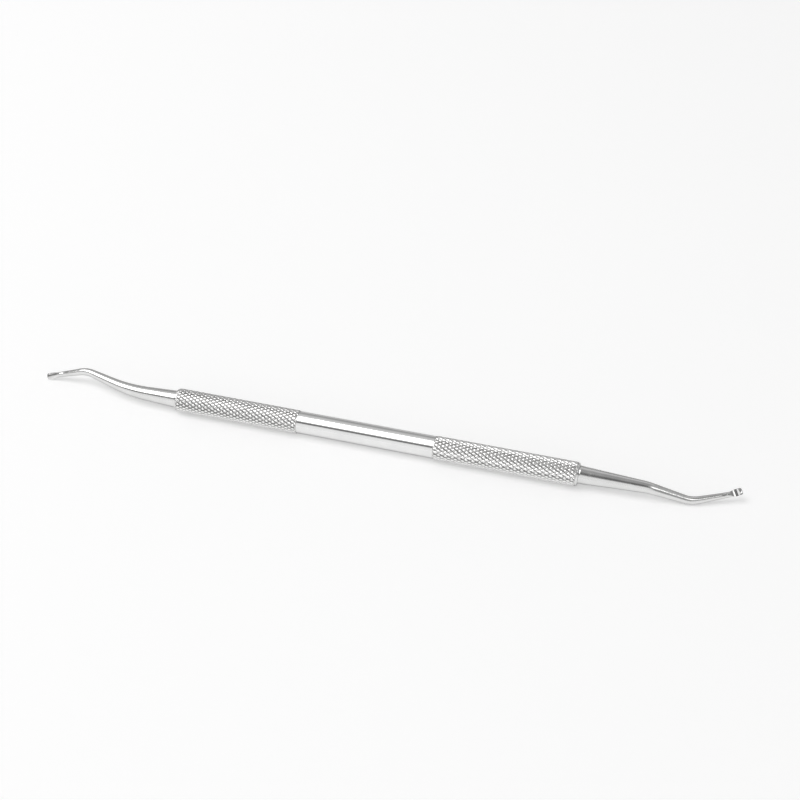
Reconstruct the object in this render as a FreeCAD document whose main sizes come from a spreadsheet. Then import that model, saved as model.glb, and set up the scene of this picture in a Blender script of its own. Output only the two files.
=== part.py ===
"""Double-ended cuticle pusher: a knurled tube handle with a forged working end brazed into each mouth.

The handle axis is +X, the origin is the middle of the smooth barrel on that axis, and +Z is up as the
tool lies on a table. The "near" end is the one at +X, the "far" end the one at -X. Sizes are millimetres.
"""
import FreeCAD, Part
import math
import os

Vector = FreeCAD.Vector

# alias, value, what it is
SIZES = [
    ("barrel_diameter", 5.0, "smooth middle of the handle"),
    ("barrel_length", 31.0, "smooth stretch between the two knurled bands"),
    ("crest_diameter", 5.3, "over the tips of the knurl"),
    ("groove_diameter", 4.84, "at the bottom of the knurl grooves"),
    ("shoulder_diameter", 5.2, "ring where a knurled band starts and stops"),
    ("knurl_starts", 19, "grooves of each hand round the handle"),
    ("knurl_pitch", 1.515, "distance between crests along the handle, a 30 degree diamond knurl"),
    ("far_band_length", 28.9, "knurled band at the far end"),
    ("near_band_length", 31.2, "knurled band at the near end"),
    ("nose_length", 0.35, "turned nose at each end of the handle"),
    ("nose_diameter", 5.0, "large end of the nose"),
    ("nose_end_diameter", 4.5, "small end of the nose"),
    ("bore_diameter", 3.96, "bore right through the handle"),
    ("mouth_diameter", 4.3, "countersink at each mouth of the bore"),
    ("mouth_depth", 0.2, "depth of that countersink"),
    ("root_diameter", 3.94, "tang and thick end of a shank"),
    ("tang_length", 12.0, "part of a working end inside the bore"),
    ("neck_diameter", 1.2, "thin end of a shank, just before the blade"),
    ("neck_distance", 31.8, "from the handle end to the neck, along the shank"),
    ("taper_power", 1.15, "above one, the shank thins faster near the handle"),
    ("section_step", 1.22, "distance between two sections of a shank"),
    ("blade_length", 3.0, "from the neck to the edge of the blade"),
    ("blade_width", 1.6, "at the edge, before its rounded corners"),
    ("blade_flare", 0.6, "share of the blade's length over which it widens"),
    ("corner_radius", 0.45, "rounded corners of the edge"),
    ("edge_thickness", 0.22, "at the edge"),
    ("hollow_radius", 2.5, "round hollow across one face of the blade"),
    ("hollow_depth", 0.18, "how far that hollow cuts in"),
    ("hollow_share", 0.56, "share of the blade's length at the middle of the hollow"),
]

# The route of each shank: straight runs that meet in bends. "run" is the distance to a bend's corner,
# "radius" rounds it, and "slope" is the way on from there: Y and Z for each millimetre along the handle
# axis, away from the handle. "roll" turns the blade's hollow face upwards from the front, in degrees:
# the near blade is hollow on its upper face, the far blade on its lower one.
FAR_ROUTE = {
    "side": -1,
    "bends": [
        {"run": 12.0, "radius": 38.0, "slope": (0.258, 0.057)},
        {"run": 12.39, "radius": 7.0, "slope": (-0.111, -0.280)},
        {"run": 6.97, "radius": 4.0, "slope": (-0.195, -0.291)},
    ],
    "roll": 222,
}
NEAR_ROUTE = {
    "side": 1,
    "bends": [
        {"run": 14.5, "radius": 14.0, "slope": (0.034, -0.2045)},
        {"run": 9.5, "radius": 6.5, "slope": (0.397, 0.150)},
        {"run": 8.3, "radius": 4.0, "slope": (0.440, 0.310)},
    ],
    "roll": 57,
}

doc = FreeCAD.newDocument("cuticle_pusher")
sheet = doc.addObject("Spreadsheet::Sheet", "sizes")


def fill_sheet():
    """Write the driving sizes and name their cells."""
    for row, (alias, value, meaning) in enumerate(SIZES, start=1):
        sheet.set("A%d" % row, alias)
        sheet.set("B%d" % row, str(value))
        sheet.set("C%d" % row, meaning)
        sheet.setAlias("B%d" % row, alias)
    doc.recompute()


def size(alias):
    """A driving size, as a plain number."""
    return float(sheet.get(alias))


def bind(thing, **formulas):
    """Bind properties of a document object to cells of the sheet."""
    for name, formula in formulas.items():
        thing.setExpression(name, formula)
    return thing


# ---------------------------------------------------------------- handle

def ring(place, radius_even, radius_odd):
    """Points round the axis, two for each knurl start, with alternating radii."""
    count = 2 * int(size("knurl_starts"))
    points = []
    for index in range(count):
        angle = 2 * math.pi * index / count
        radius = radius_even if index % 2 == 0 else radius_odd
        points.append(Vector(place, radius * math.cos(angle), radius * math.sin(angle)))
    return points


def triangle(a, b, c):
    """One flat facet."""
    return Part.Face(Part.makePolygon([a, b, c, a]))


def facets_between(low_ring, high_ring, flip):
    """Two facets for each cell of the knurl, split along the groove that crosses it."""
    facets = []
    count = len(low_ring)
    for index in range(count):
        following = (index + 1) % count
        a, b = low_ring[index], low_ring[following]
        c, d = high_ring[following], high_ring[index]
        if (index + flip) % 2 == 0:
            facets += [triangle(a, b, d), triangle(b, c, d)]
        else:
            facets += [triangle(a, b, c), triangle(a, c, d)]
    return facets


def knurled_band(start, length):
    """A solid band with four-sided crests standing between two families of crossing grooves."""
    crest = size("crest_diameter") / 2
    groove = size("groove_diameter") / 2
    shoulder = size("shoulder_diameter") / 2
    steps = round(length / (size("knurl_pitch") / 2))
    rings = [ring(start, shoulder, shoulder)]
    for step in range(1, steps):
        place = start + length * step / steps
        radii = (crest, groove) if step % 2 == 0 else (groove, crest)
        rings.append(ring(place, *radii))
    rings.append(ring(start + length, shoulder, shoulder))
    faces = []
    for step in range(steps):
        faces += facets_between(rings[step], rings[step + 1], step % 2)
    for end_ring in (rings[0], rings[-1]):
        faces.append(Part.Face(Part.makePolygon(end_ring + end_ring[:1])))
    shell = Part.makeShell(faces)
    shell.sewShape()
    return Part.makeSolid(shell)


def band_feature(name, start, length):
    """A document object that holds one knurled band."""
    band = doc.addObject("Part::Feature", name)
    solid = knurled_band(start, length)
    if solid.Volume < 0:
        solid.reverse()
    band.Shape = solid
    return band


def along_x(thing, place, side=1):
    """Stand a turned primitive on the handle axis, growing towards side."""
    thing.Placement = FreeCAD.Placement(Vector(place, 0, 0), FreeCAD.Rotation(Vector(0, 1, 0), 90 * side))
    return thing


def nose(name, place, side):
    """The turned nose that closes the handle beyond a knurled band."""
    cone = doc.addObject("Part::Cone", name)
    bind(cone, Radius1="sizes.nose_diameter / 2", Radius2="sizes.nose_end_diameter / 2")
    bind(cone, Height="sizes.nose_length")
    return along_x(cone, place, side)


def mouth(name, place, side):
    """The countersink at a mouth of the bore, growing inwards."""
    cone = doc.addObject("Part::Cone", name)
    bind(cone, Radius1="sizes.mouth_diameter / 2", Radius2="sizes.bore_diameter / 2")
    bind(cone, Height="sizes.mouth_depth")
    return along_x(cone, place, -side)


def handle_ends():
    """Where the handle stops: far end and near end, on the X axis."""
    half_barrel = size("barrel_length") / 2
    far = -half_barrel - size("far_band_length") - size("nose_length")
    near = half_barrel + size("near_band_length") + size("nose_length")
    return far, near


def make_handle():
    """The tube with its barrel, two knurled bands, two noses and the bore."""
    half_barrel = size("barrel_length") / 2
    far_end, near_end = handle_ends()
    barrel = doc.addObject("Part::Cylinder", "barrel")
    bind(barrel, Radius="sizes.barrel_diameter / 2", Height="sizes.barrel_length")
    along_x(barrel, -half_barrel)
    far_band = band_feature("far_band", -half_barrel - size("far_band_length"), size("far_band_length"))
    near_band = band_feature("near_band", half_barrel, size("near_band_length"))
    far_nose = nose("far_nose", far_end + size("nose_length"), -1)
    near_nose = nose("near_nose", near_end - size("nose_length"), 1)
    blank = doc.addObject("Part::MultiFuse", "handle_blank")
    blank.Shapes = [barrel, far_band, near_band, far_nose, near_nose]
    bore = doc.addObject("Part::Cylinder", "bore")
    bind(bore, Radius="sizes.bore_diameter / 2")
    bind(bore, Height="sizes.barrel_length + sizes.far_band_length + sizes.near_band_length"
                      " + 2 * sizes.nose_length")
    along_x(bore, far_end)
    hollow = doc.addObject("Part::MultiFuse", "hollow")
    hollow.Shapes = [bore, mouth("far_mouth", far_end, -1), mouth("near_mouth", near_end, 1)]
    handle = doc.addObject("Part::Cut", "handle_tube")
    handle.Base = blank
    handle.Tool = hollow
    return handle


# ---------------------------------------------------------------- working ends

def unit(side, slope):
    """Unit direction of a run."""
    direction = Vector(side, slope[0], slope[1])
    return direction.normalize()


def turn(corner, before, after, radius):
    """The arc that rounds a corner of the route: its start, length, centre, axis and radius."""
    angle = before.getAngle(after)
    cut_back = radius * math.tan(angle / 2)
    start = corner - before * cut_back
    towards_centre = (after - before).normalize()
    centre = corner + towards_centre * (radius / math.cos(angle / 2))
    return {"start": start, "cut_back": cut_back, "angle": angle, "centre": centre,
            "axis": before.cross(after).normalize(), "radius": radius}


def make_route(route, handle_end):
    """Runs and bends of one shank, from the handle end outwards."""
    start = Vector(handle_end, 0, 0)
    directions = [unit(route["side"], (0, 0))]
    corner = start
    turns = []
    for bend in route["bends"]:
        corner = corner + directions[-1] * bend["run"]
        directions.append(unit(route["side"], bend["slope"]))
        turns.append(turn(corner, directions[-2], directions[-1], bend["radius"]))
    runs = []
    used = 0
    for bend, rounded in zip(route["bends"], turns):
        runs.append(bend["run"] - used - rounded["cut_back"])
        used = rounded["cut_back"]
    return {"start": start, "directions": directions, "turns": turns, "runs": runs, "roll": route["roll"]}


def place_on_route(path, distance):
    """Point and direction on a shank's centre line, at a distance from the handle end."""
    point = path["start"]
    for run, direction, bend in zip(path["runs"], path["directions"], path["turns"]):
        if distance <= run:
            return point + direction * distance, direction
        distance -= run
        arc_length = bend["radius"] * bend["angle"]
        swept = min(distance, arc_length)
        rotation = FreeCAD.Rotation(bend["axis"], math.degrees(swept / bend["radius"]))
        point = bend["centre"] + rotation.multVec(bend["start"] - bend["centre"])
        if distance <= arc_length:
            return point, rotation.multVec(direction)
        distance -= arc_length
    return point + path["directions"][-1] * distance, path["directions"][-1]


def face_axes(path, direction):
    """The blade's width direction and the normal of its hollow face, both square to the shank."""
    up = Vector(0, 0, 1)
    width_axis = (up - direction * up.dot(direction)).normalize()
    face_normal = direction.cross(width_axis)
    if face_normal.y > 0:
        face_normal = -face_normal
    roll = math.radians(path["roll"])
    rolled_width = width_axis * math.cos(roll) - face_normal * math.sin(roll)
    rolled_normal = face_normal * math.cos(roll) + width_axis * math.sin(roll)
    return rolled_width, rolled_normal


def section(name, path, distance, half_width, half_thickness):
    """One elliptical section of a working end."""
    point, direction = place_on_route(path, distance)
    width_axis, _ = face_axes(path, direction)
    rotation = FreeCAD.Rotation(width_axis, direction.cross(width_axis), direction, "ZXY")
    ellipse = doc.addObject("Part::Ellipse", name)
    ellipse.Placement = FreeCAD.Placement(point, rotation)
    bind(ellipse, MajorRadius=half_width, MinorRadius=half_thickness)
    return ellipse


def shank_sections(name, path):
    """Round sections from the handle mouth to the neck."""
    steps = round(size("neck_distance") / size("section_step"))
    sections = []
    for step in range(steps + 1):
        left = "(1 - %d / %d)" % (step, steps)
        radius = ("(sizes.neck_diameter + (sizes.root_diameter - sizes.neck_diameter)"
                  " * %s ^ sizes.taper_power) / 2" % left)
        distance = size("neck_distance") * step / steps
        sections.append(section("%s_section_%d" % (name, step), path, distance, radius, radius))
    return sections


def thinning(along):
    """How far the blade has thinned at a share of its length: 0 at the neck, 1 at the edge."""
    return along ** 0.6


def widening(along):
    """How far the blade has widened at a share of its length: 0 at the neck, 1 from the flare's end on."""
    share = min(along / size("blade_flare"), 1)
    return (1 - math.cos(math.pi * share)) / 2


def corner_loss(along):
    """How much each rounded corner takes off the half width, near the edge."""
    radius = size("corner_radius")
    reach = radius - size("blade_length") * (1 - along)
    if reach <= 0:
        return 0
    return radius - math.sqrt(radius ** 2 - reach ** 2)


def blade_sections(name, path):
    """Flat sections from the neck to the edge, closer together near the edge."""
    count = 12
    sections = []
    for step in range(1, count + 1):
        along = math.sin(0.5 * math.pi * step / count)
        half_width = ("(sizes.neck_diameter + (sizes.blade_width - sizes.neck_diameter) * %.4f) / 2 - %.4f"
                      % (widening(along), corner_loss(along)))
        half_thickness = ("(sizes.neck_diameter + (sizes.edge_thickness - sizes.neck_diameter) * %.4f) / 2"
                          % thinning(along))
        distance = size("neck_distance") + size("blade_length") * along
        sections.append(section("%s_blade_%d" % (name, step), path, distance, half_width, half_thickness))
    return sections


def hollow_rod(name, path):
    """The rod across the blade that hollows one of its faces."""
    share = size("hollow_share")
    point, direction = place_on_route(path, size("neck_distance") + share * size("blade_length"))
    width_axis, face_normal = face_axes(path, direction)
    thickness = size("neck_diameter") + (size("edge_thickness") - size("neck_diameter")) * thinning(share)
    centre = point + face_normal * (size("hollow_radius") + thickness / 2 - size("hollow_depth"))
    rod = doc.addObject("Part::Cylinder", name)
    bind(rod, Radius="sizes.hollow_radius", Height="2 * sizes.blade_width")
    start = centre - width_axis * size("blade_width")
    rod.Placement = FreeCAD.Placement(start, FreeCAD.Rotation(Vector(0, 0, 1), width_axis))
    return rod


def make_working_end(name, route, handle_end):
    """Tang, bent tapering shank and hollowed blade, one forging."""
    path = make_route(route, handle_end)
    loft = doc.addObject("Part::Loft", name + "_loft")
    loft.Sections = shank_sections(name, path) + blade_sections(name, path)
    loft.Solid = True
    loft.Ruled = False
    tang = doc.addObject("Part::Cylinder", name + "_tang")
    bind(tang, Radius="sizes.root_diameter / 2", Height="sizes.tang_length")
    along_x(tang, handle_end, -route["side"])
    forging = doc.addObject("Part::MultiFuse", name + "_forging")
    forging.Shapes = [tang, loft]
    working_end = doc.addObject("Part::Cut", name)
    working_end.Base = forging
    working_end.Tool = hollow_rod(name + "_rod", path)
    return working_end


# ---------------------------------------------------------------- braze rings

def make_braze_ring(name, handle_end, side):
    """Filler metal in the countersink, round the root of a shank."""
    outer = mouth(name + "_outer", handle_end, side)
    hole = doc.addObject("Part::Cylinder", name + "_hole")
    bind(hole, Radius="sizes.bore_diameter / 2", Height="sizes.mouth_depth")
    along_x(hole, handle_end, -side)
    braze = doc.addObject("Part::Cut", name)
    braze.Base = outer
    braze.Tool = hole
    return braze


# ---------------------------------------------------------------- whole part

def check_document(pieces):
    """Stop if any object failed or any piece is empty or broken."""
    for thing in doc.Objects:
        if "Invalid" in thing.State or "Error" in thing.State:
            raise RuntimeError("%s failed: %s" % (thing.Name, thing.State))
    for piece in pieces:
        if piece.Shape.isNull() or not piece.Shape.isValid():
            raise RuntimeError("%s has no valid shape" % piece.Label)
        if len(piece.Shape.Solids) != 1:
            raise RuntimeError("%s has %d solids" % (piece.Label, len(piece.Shape.Solids)))


def main():
    fill_sheet()
    far_end, near_end = handle_ends()
    pieces = [
        make_handle(),
        make_working_end("far_working_end", FAR_ROUTE, far_end),
        make_working_end("near_working_end", NEAR_ROUTE, near_end),
        make_braze_ring("far_braze_ring", far_end, -1),
        make_braze_ring("near_braze_ring", near_end, 1),
    ]
    doc.recompute()
    check_document(pieces)
    os.makedirs("parts", exist_ok=True)
    for piece in pieces:
        piece.Label = piece.Name
        piece.Shape.exportStep(os.path.join("parts", piece.Label + ".step"))
        box = piece.Shape.BoundBox
        print("%-18s volume %8.3f mm3  faces %5d  x %.2f..%.2f  y %.2f..%.2f  z %.2f..%.2f" % (
            piece.Label, piece.Shape.Volume, len(piece.Shape.Faces),
            box.XMin, box.XMax, box.YMin, box.YMax, box.ZMin, box.ZMax))


main()
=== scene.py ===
"""Looks of the double-ended cuticle pusher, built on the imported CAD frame.

The handle is a fine mesh in place of the CAD tube: its knurl has worn, blunted crests and shallower grooves.
The forged working ends and the braze rings are the CAD nodes with better materials.
Everything is in metres in the CAD's own frame: +X along the handle, +Z up.
"""
import math

import bpy
import numpy as np
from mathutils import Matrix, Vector


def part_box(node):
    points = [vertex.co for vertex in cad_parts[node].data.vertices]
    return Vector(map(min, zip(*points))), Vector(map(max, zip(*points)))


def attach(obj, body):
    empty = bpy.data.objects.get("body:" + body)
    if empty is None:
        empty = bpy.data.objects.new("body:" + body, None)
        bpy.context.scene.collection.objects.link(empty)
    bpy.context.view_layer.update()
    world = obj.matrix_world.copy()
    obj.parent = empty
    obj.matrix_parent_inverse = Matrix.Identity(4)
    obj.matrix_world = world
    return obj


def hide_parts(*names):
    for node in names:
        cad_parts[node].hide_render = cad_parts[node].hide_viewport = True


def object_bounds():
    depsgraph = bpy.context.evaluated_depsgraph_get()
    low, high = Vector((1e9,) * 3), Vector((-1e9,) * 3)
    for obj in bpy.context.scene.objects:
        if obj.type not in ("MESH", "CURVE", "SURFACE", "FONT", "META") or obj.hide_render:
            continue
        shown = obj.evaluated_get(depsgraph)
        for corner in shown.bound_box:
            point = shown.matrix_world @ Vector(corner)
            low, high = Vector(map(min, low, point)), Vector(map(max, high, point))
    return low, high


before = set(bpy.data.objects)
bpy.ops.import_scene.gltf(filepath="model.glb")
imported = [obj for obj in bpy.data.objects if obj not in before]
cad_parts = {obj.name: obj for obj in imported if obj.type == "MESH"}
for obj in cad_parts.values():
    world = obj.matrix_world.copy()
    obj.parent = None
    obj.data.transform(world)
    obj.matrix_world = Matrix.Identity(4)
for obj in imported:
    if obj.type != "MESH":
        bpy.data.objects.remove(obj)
cad_low, cad_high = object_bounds()

MM = 0.001

# The handle, as the frame's box and the design give it.
HANDLE_LOW, HANDLE_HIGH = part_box("handle_tube")
CREST_RADIUS = min(HANDLE_HIGH.y, HANDLE_HIGH.z)
GROOVE_DEPTH = 0.17 * MM
BARREL_RADIUS = 2.5 * MM
BARREL_HALF_LENGTH = 15.5 * MM
BARREL_STEPS = 40
BORE_RADIUS = 1.98 * MM
MOUTH_RADIUS = 2.15 * MM
MOUTH_DEPTH = 0.2 * MM
NOSE_LENGTH = 0.35 * MM
NOSE_RADIUS = 2.5 * MM
NOSE_END_RADIUS = 2.25 * MM
NOSE_STEPS = 5
KNURL_STARTS = 19
KNURL_PITCH = 1.515 * MM
CELLS_PER_HALF_PITCH = 6
COLUMNS = 2 * KNURL_STARTS * CELLS_PER_HALF_PITCH
# Share of a full sharp crest's height at which the worn crests are cut flat.
LAND_HEIGHT = 0.5
# The most that one crest is lower than another, as a share of the groove depth.
CREST_WEAR = 0.10
# The knurl runs out to this radius at the ends of a band, over this share of a pitch.
BAND_END_RADIUS = 2.53 * MM
RUN_OUT = 0.3
SHARP_EDGE = math.radians(28)

# The table, and how bright the camera sees the room beyond it.
TABLE_HALF_WIDTH = 4.0
FLOOR_GLOW = 0.295
ROOM_SEEN = 0.93


# ---------------------------------------------------------------- camera

CAMERA_AZIMUTH = math.radians(15.66)
CAMERA_ELEVATION = math.radians(40.0)
CAMERA_PLACE = Vector((62.35, -194.95, 181.58)) * MM
CAMERA_LENS = 56.0
CAMERA_SENSOR = 36.0


def make_camera():
    """The camera, level, looking down at the tool from the front right."""
    data = bpy.data.cameras.new("camera")
    data.lens = CAMERA_LENS
    data.sensor_width = CAMERA_SENSOR
    data.clip_start = 0.01
    data.clip_end = 50
    camera = bpy.data.objects.new("camera", data)
    camera.location = CAMERA_PLACE
    camera.rotation_euler = (math.pi / 2 - CAMERA_ELEVATION, 0, CAMERA_AZIMUTH)
    bpy.context.scene.collection.objects.link(camera)
    bpy.context.scene.camera = camera


# ---------------------------------------------------------------- materials

def new_material(name):
    """A material with one Principled shader, with its node tree and the shader."""
    material = bpy.data.materials.new(name)
    material.use_nodes = True
    tree = material.node_tree
    tree.nodes.clear()
    output = tree.nodes.new("ShaderNodeOutputMaterial")
    shader = tree.nodes.new("ShaderNodeBsdfPrincipled")
    tree.links.new(shader.outputs["BSDF"], output.inputs["Surface"])
    return material, tree, shader


def object_point(tree, scale):
    """Object coordinates, stretched by scale."""
    coordinates = tree.nodes.new("ShaderNodeTexCoord")
    mapping = tree.nodes.new("ShaderNodeMapping")
    mapping.inputs["Scale"].default_value = scale
    tree.links.new(coordinates.outputs["Object"], mapping.inputs["Vector"])
    return mapping.outputs["Vector"]


def noise(tree, scale, detail, roughness=0.55):
    """A noise value with scale waves per metre along each axis."""
    node = tree.nodes.new("ShaderNodeTexNoise")
    node.inputs["Scale"].default_value = 1.0
    node.inputs["Detail"].default_value = detail
    node.inputs["Roughness"].default_value = roughness
    tree.links.new(object_point(tree, scale), node.inputs["Vector"])
    return node.outputs["Fac"]


def ranged(tree, value, low, high, from_low=0.25, from_high=0.75):
    """The value mapped from its usual spread to low..high."""
    node = tree.nodes.new("ShaderNodeMapRange")
    node.inputs["From Min"].default_value = from_low
    node.inputs["From Max"].default_value = from_high
    node.inputs["To Min"].default_value = low
    node.inputs["To Max"].default_value = high
    tree.links.new(value, node.inputs["Value"])
    return node.outputs["Result"]


def math_node(tree, operation, first, second=None):
    """One math node; each operand is a socket or a number."""
    node = tree.nodes.new("ShaderNodeMath")
    node.operation = operation
    for index, operand in enumerate((first, second)):
        if operand is None:
            continue
        if isinstance(operand, (int, float)):
            node.inputs[index].default_value = operand
        else:
            tree.links.new(operand, node.inputs[index])
    return node.outputs["Value"]


def mixed(tree, factor, low, high):
    """A colour between low and high; each of them is a socket or a plain colour."""
    node = tree.nodes.new("ShaderNodeMix")
    node.data_type = "RGBA"
    tree.links.new(factor, node.inputs["Factor"])
    for name, colour in (("A", low), ("B", high)):
        if isinstance(colour, tuple):
            node.inputs[name].default_value = (*colour, 1)
        else:
            tree.links.new(colour, node.inputs[name])
    return node.outputs["Result"]


def bumped(tree, shader, height, strength, distance):
    """Bump on the shader from a height value."""
    bump = tree.nodes.new("ShaderNodeBump")
    bump.inputs["Strength"].default_value = strength
    bump.inputs["Distance"].default_value = distance
    tree.links.new(height, bump.inputs["Height"])
    tree.links.new(bump.outputs["Normal"], shader.inputs["Normal"])


def axis_radius(tree):
    """Distance from the handle axis, in metres."""
    coordinates = tree.nodes.new("ShaderNodeTexCoord")
    parts = tree.nodes.new("ShaderNodeSeparateXYZ")
    tree.links.new(coordinates.outputs["Object"], parts.inputs["Vector"])
    across = math_node(tree, "MULTIPLY", parts.outputs["Y"], parts.outputs["Y"])
    upward = math_node(tree, "MULTIPLY", parts.outputs["Z"], parts.outputs["Z"])
    return math_node(tree, "SQRT", math_node(tree, "ADD", across, upward))


# The metals mirror less at a glancing angle than the plain Fresnel rise gives.
EDGE_TINT = (0.40, 0.40, 0.40, 1)
# Depth of the fine marks in a polished face, and of the pits in the braze.
MARK_DEPTH = 0.004 * MM
PIT_DEPTH = 0.01 * MM
# Grain of each pattern: noise waves per metre along X, Y and Z. The barrel's marks run round it, as turning
# leaves them, and the shanks' marks run along them.
POLISH_GRAIN = (260, 260, 260)
ROUND_MARKS = (20000, 500, 500)
LONG_MARKS = (500, 14000, 14000)
GROOVE_SHADE_GRAIN = (900, 900, 900)
KNURL_GRAIN = (9000, 9000, 9000)
FROST_GRAIN = (5000, 5000, 5000)
FIBRE_GRAIN = (400, 400, 400)


def new_metal(name):
    """A bare metal, with its node tree and its shader."""
    material, tree, shader = new_material(name)
    shader.inputs["Metallic"].default_value = 1.0
    shader.inputs["Specular Tint"].default_value = EDGE_TINT
    return material, tree, shader


def steel_material(name, dark, bright, roughness, mark_scale, mark_strength):
    """Polished stainless steel: cloudy polish, with fine marks that all run one way."""
    material, tree, shader = new_metal(name)
    clouds = noise(tree, POLISH_GRAIN, detail=4)
    marks = noise(tree, mark_scale, detail=4, roughness=0.7)
    both = math_node(tree, "MULTIPLY", math_node(tree, "ADD", clouds, marks), 0.5)
    colour = mixed(tree, ranged(tree, clouds, 0, 1), dark, bright)
    tree.links.new(colour, shader.inputs["Base Color"])
    tree.links.new(ranged(tree, both, *roughness), shader.inputs["Roughness"])
    bumped(tree, shader, marks, mark_strength, MARK_DEPTH)
    return material


def knurl_material():
    """The knurl: crests rubbed bright; grooves a little duller, and darker with depth as painted shade in the
    recesses, made patchy by a noise.
    """
    material, tree, shader = new_metal("knurled_steel")
    height = ranged(tree, axis_radius(tree), 0, 1, CREST_RADIUS - GROOVE_DEPTH, CREST_RADIUS)
    groove_shade_patches = noise(tree, GROOVE_SHADE_GRAIN, detail=4)
    # Painted shade: the colour darkens towards the groove bottoms, more in some patches than in others; the
    # same factor makes the grooves rougher.
    depth = math_node(tree, "SUBTRACT", 1.0, height)
    groove_shade_and_dullness = math_node(tree, "MULTIPLY", ranged(tree, groove_shade_patches, 0.6, 1.1), depth)
    crest_colour = (0.97, 0.97, 0.965)
    groove_shade_colour = (0.30, 0.295, 0.29)
    tree.links.new(mixed(tree, groove_shade_and_dullness, crest_colour, groove_shade_colour), shader.inputs["Base Color"])
    tree.links.new(ranged(tree, groove_shade_and_dullness, 0.12, 0.34, 0, 1), shader.inputs["Roughness"])
    fine = noise(tree, KNURL_GRAIN, detail=3)
    bumped(tree, shader, fine, 0.25, MARK_DEPTH)
    return material


def braze_material():
    """Braze filler: dull silver with a frosty, slightly pitted skin."""
    material, tree, shader = new_metal("braze_filler")
    frost = noise(tree, FROST_GRAIN, detail=5)
    colour = mixed(tree, frost, (0.52, 0.50, 0.46), (0.74, 0.73, 0.70))
    tree.links.new(colour, shader.inputs["Base Color"])
    tree.links.new(ranged(tree, frost, 0.28, 0.5), shader.inputs["Roughness"])
    bumped(tree, shader, frost, 0.5, PIT_DEPTH)
    return material


def floor_material():
    """White light table: a matt sheet, partly lit from below."""
    material, tree, shader = new_material("white_table")
    fibres = noise(tree, FIBRE_GRAIN, detail=4)
    colour = mixed(tree, fibres, (0.795, 0.795, 0.795), (0.805, 0.805, 0.805))
    tree.links.new(colour, shader.inputs["Base Color"])
    shader.inputs["Roughness"].default_value = 0.75
    shader.inputs["Specular IOR Level"].default_value = 0.2
    shader.inputs["Emission Color"].default_value = (1, 1, 1, 1)
    shader.inputs["Emission Strength"].default_value = FLOOR_GLOW
    return material


# ---------------------------------------------------------------- handle

def ridge(value):
    """1 on a crest line, 0 at the bottom of a groove, for one family of grooves."""
    return np.abs(2 * np.mod(value, 1.0) - 1)


def crest_height(around, along):
    """Each crest's own height, from a sine hash of its place, so that it is the same each time."""
    cell = np.sin(np.round(around * 2) * 12.9898 + np.round(along * 2) * 78.233) * 43758.5453
    return 1 - CREST_WEAR * np.mod(cell, 1.0)


def knurl_radii(rows):
    """Radius at each ring and column of a knurled band of so many rows of cells."""
    around = np.arange(COLUMNS) / (2 * CELLS_PER_HALF_PITCH)
    along = np.arange(rows + 1) / (2 * CELLS_PER_HALF_PITCH)
    grid_around, grid_along = np.meshgrid(around, along)
    height = np.minimum(ridge(grid_around + grid_along), ridge(grid_around - grid_along))
    rise = np.minimum(height / LAND_HEIGHT, 1)
    rise = rise * crest_height(grid_around, grid_along)
    radii = CREST_RADIUS - GROOVE_DEPTH + GROOVE_DEPTH * rise
    fade = np.clip(np.minimum(grid_along, along[-1] - grid_along) / RUN_OUT, 0, 1)
    fade = fade * fade * (3 - 2 * fade)
    return BAND_END_RADIUS * (1 - fade) + radii * fade


def band_rows(start, end):
    """Rings of one knurled band: their places along X and their radii."""
    half_pitches = round((end - start) / (KNURL_PITCH / 2))
    rows = half_pitches * CELLS_PER_HALF_PITCH
    return np.linspace(start, end, rows + 1), knurl_radii(rows)


def handle_rows():
    """Every ring of the handle's skin, from the far mouth over the outside to the near mouth.

    Gives the rings' places along X, their radii at each column, and which of them are knurled.
    """
    low, high = HANDLE_LOW.x, HANDLE_HIGH.x
    places, radii, knurled = [], [], []

    def add(place, radius):
        places.append(place)
        radii.append(np.full(COLUMNS, radius))
        knurled.append(False)

    def add_nose(end, inward):
        add(end + inward * MOUTH_DEPTH, BORE_RADIUS)
        add(end, MOUTH_RADIUS)
        add(end, (MOUTH_RADIUS + NOSE_END_RADIUS) / 2)
        for step in range(NOSE_STEPS + 1):
            turn = math.pi / 2 * step / NOSE_STEPS
            add(end + inward * NOSE_LENGTH * (1 - math.cos(turn)),
                NOSE_END_RADIUS + (NOSE_RADIUS - NOSE_END_RADIUS) * math.sin(turn))

    def add_band(start, end):
        band_places, band_radii = band_rows(start, end)
        places.extend(band_places)
        radii.extend(band_radii)
        knurled.extend([True] * len(band_places))

    add_nose(low, 1)
    add_band(low + NOSE_LENGTH, -BARREL_HALF_LENGTH)
    for step in range(BARREL_STEPS + 1):
        add(-BARREL_HALF_LENGTH + 2 * BARREL_HALF_LENGTH * step / BARREL_STEPS, BARREL_RADIUS)
    add_band(BARREL_HALF_LENGTH, high - NOSE_LENGTH)
    near_end = len(places)
    add_nose(high, -1)
    for stack in (places, radii, knurled):
        stack[near_end:] = stack[near_end:][::-1]
    return np.array(places), np.array(radii), knurled


def handle_faces(row_count, knurled):
    """Cells between neighbouring rings, closed through the bore, and the material slot of each.

    Knurl cells that a groove crosses are split along it.
    """
    faces, materials = [], []
    band_row = 0
    period = 2 * CELLS_PER_HALF_PITCH
    for row in range(row_count):
        following = (row + 1) % row_count
        in_band = knurled[row] and knurled[following] and following == row + 1
        band_row = band_row + 1 if in_band else 0
        step = band_row - 1
        for column in range(COLUMNS):
            right = (column + 1) % COLUMNS
            a = row * COLUMNS + column
            b = row * COLUMNS + right
            c = following * COLUMNS + right
            d = following * COLUMNS + column
            if in_band and (column + step + 1) % period == CELLS_PER_HALF_PITCH:
                faces += [(a, d, b), (b, d, c)]
                materials += [1, 1]
            elif in_band and (column - step) % period == CELLS_PER_HALF_PITCH:
                faces += [(a, d, c), (a, c, b)]
                materials += [1, 1]
            else:
                faces.append((a, d, c, b))
                materials.append(1 if in_band else 0)
    return faces, materials


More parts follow.
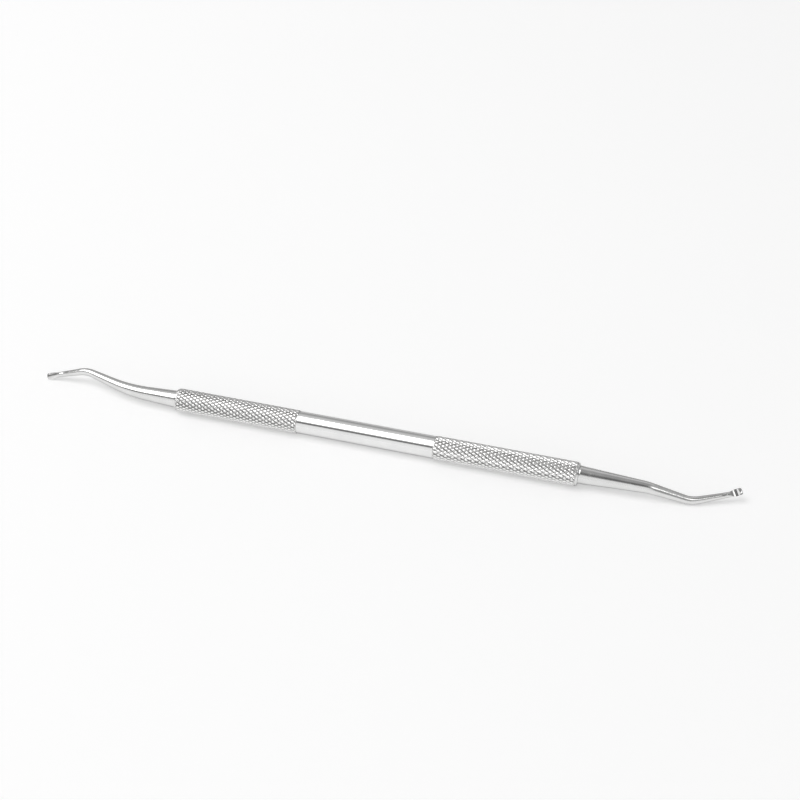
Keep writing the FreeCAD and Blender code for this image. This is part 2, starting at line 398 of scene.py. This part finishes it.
def make_handle(barrel_steel, knurl_steel):
    """The handle's fine mesh, which stands for the CAD tube."""
    places, radii, knurled = handle_rows()
    angles = 2 * math.pi * np.arange(COLUMNS) / COLUMNS
    points = np.empty((*radii.shape, 3))
    points[..., 0] = places[:, None]
    points[..., 1] = radii * np.cos(angles)
    points[..., 2] = radii * np.sin(angles)
    faces, materials = handle_faces(len(places), knurled)
    mesh = bpy.data.meshes.new("handle_skin")
    mesh.from_pydata(points.reshape(-1, 3).tolist(), [], faces)
    mesh.materials.append(barrel_steel)
    mesh.materials.append(knurl_steel)
    mesh.polygons.foreach_set("material_index", materials)
    mesh.shade_smooth()
    mesh.set_sharp_from_angle(angle=SHARP_EDGE)
    mesh.validate()
    handle = bpy.data.objects.new("handle_skin", mesh)
    bpy.context.scene.collection.objects.link(handle)
    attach(handle, "root")
    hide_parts("handle_tube")


def dress(node, material):
    """Give a CAD node a better material."""
    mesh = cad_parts[node].data
    mesh.materials.clear()
    mesh.materials.append(material)


# ---------------------------------------------------------------- table, light and surroundings

def make_floor():
    """A wide white table under the lowest point of the tool."""
    half = TABLE_HALF_WIDTH
    level = cad_low.z
    mesh = bpy.data.meshes.new("table")
    corners = [(-half, -half, level), (half, -half, level), (half, half, level), (-half, half, level)]
    mesh.from_pydata(corners, [], [(0, 1, 2, 3)])
    mesh.materials.append(floor_material())
    table = bpy.data.objects.new("table", mesh)
    bpy.context.scene.collection.objects.link(table)


def make_softbox(name, place, size_x, size_y, power):
    """A rectangular studio light that hangs level and shines straight down."""
    data = bpy.data.lights.new(name, "AREA")
    data.shape = "RECTANGLE"
    data.size = size_x
    data.size_y = size_y
    data.energy = power
    light = bpy.data.objects.new(name, data)
    light.location = place
    bpy.context.scene.collection.objects.link(light)


# Brightness of the room round the handle, part by part along X. The degrees run from the horizon in front (0)
# over the top (90) to the horizon behind (180).
ROOM_FAR_LEFT = [(0, 0.93), (20, 0.90), (38, 0.26), (60, 0.18), (88, 0.24), (122, 0.36), (180, 0.85)]
ROOM_LEFT = [(0, 0.97), (24, 0.90), (31, 0.72), (35, 0.16), (44, 0.14), (48, 0.50), (56, 0.90), (100, 0.95),
             (112, 0.72), (134, 0.56), (146, 0.42), (157, 0.34), (172, 0.66), (180, 0.85)]
ROOM_MIDDLE = [(0, 0.93), (32, 0.90), (40, 0.60), (46, 0.24), (56, 0.13), (66, 0.15), (88, 0.38), (108, 0.34),
               (122, 0.46), (145, 0.75), (158, 0.40), (172, 0.36), (180, 0.60)]
ROOM_RIGHT = [(0, 0.93), (12, 0.80), (20, 0.36), (50, 0.30), (59, 1.0), (80, 1.0), (96, 0.46),
              (118, 0.55), (150, 0.28), (180, 0.60)]
ROOM_FAR_RIGHT = [(0, 0.93), (26, 0.90), (36, 0.35), (50, 0.22), (90, 0.25), (120, 0.40), (180, 0.60)]
# Where one part of the room passes into the next: X of the direction at the start and end of the change.
ROOM_EDGES = [(-0.76, -0.74), (-0.16, -0.06), (0.29, 0.33), (0.44, 0.50)]


def room_ramp(tree, share, stops):
    """Brightness over the angle round the handle, from its stops in degrees."""
    ramp = tree.nodes.new("ShaderNodeValToRGB")
    tree.links.new(share, ramp.inputs["Fac"])
    elements = ramp.color_ramp.elements
    while len(elements) < len(stops):
        elements.new(0.5)
    for element, (degrees, grey) in zip(elements, stops):
        element.position = degrees / 180
        element.color = (grey, grey, grey, 1)
    return ramp.outputs["Color"]


def make_room():
    """Soft grey surroundings with the dark strip where camera and photographer stand."""
    world = bpy.data.worlds.new("studio")
    bpy.context.scene.world = world
    world.use_nodes = True
    tree = world.node_tree
    tree.nodes.clear()
    output = tree.nodes.new("ShaderNodeOutputWorld")
    background = tree.nodes.new("ShaderNodeBackground")
    tree.links.new(background.outputs["Background"], output.inputs["Surface"])
    coordinates = tree.nodes.new("ShaderNodeTexCoord")
    parts = tree.nodes.new("ShaderNodeSeparateXYZ")
    tree.links.new(coordinates.outputs["Generated"], parts.inputs["Vector"])
    forward = math_node(tree, "MULTIPLY", parts.outputs["Y"], -1.0)
    angle = math_node(tree, "ARCTAN2", parts.outputs["Z"], forward)
    share = math_node(tree, "DIVIDE", angle, math.pi)
    room = room_ramp(tree, share, ROOM_FAR_LEFT)
    for edge, stops in zip(ROOM_EDGES, (ROOM_LEFT, ROOM_MIDDLE, ROOM_RIGHT, ROOM_FAR_RIGHT)):
        beyond = ranged(tree, parts.outputs["X"], 0, 1, *edge)
        room = mixed(tree, beyond, room, room_ramp(tree, share, stops))
    path = tree.nodes.new("ShaderNodeLightPath")
    seen = (ROOM_SEEN, ROOM_SEEN, ROOM_SEEN)
    light = mixed(tree, path.outputs["Is Camera Ray"], room, seen)
    tree.links.new(light, background.inputs["Color"])


make_camera()
barrel_steel = steel_material("polished_barrel", dark=(0.80, 0.80, 0.80), bright=(0.86, 0.86, 0.855),
                              roughness=(0.05, 0.13), mark_scale=ROUND_MARKS, mark_strength=0.12)
shank_steel = steel_material("polished_shank", dark=(0.72, 0.72, 0.715), bright=(0.80, 0.80, 0.795),
                             roughness=(0.08, 0.20), mark_scale=LONG_MARKS, mark_strength=0.15)
make_handle(barrel_steel, knurl_material())
braze = braze_material()
for end in ("far", "near"):
    dress(end + "_working_end", shank_steel)
    dress(end + "_braze_ring", braze)
make_floor()
make_softbox("softbox", place=(-1.00, -0.31, 1.5), size_x=1.55, size_y=1.26, power=14.7)
make_softbox("side_softbox", place=(0.735, -0.55, 1.5), size_x=0.25, size_y=0.50, power=0.47)
make_room()
bpy.context.scene.view_settings.view_transform = "Standard"
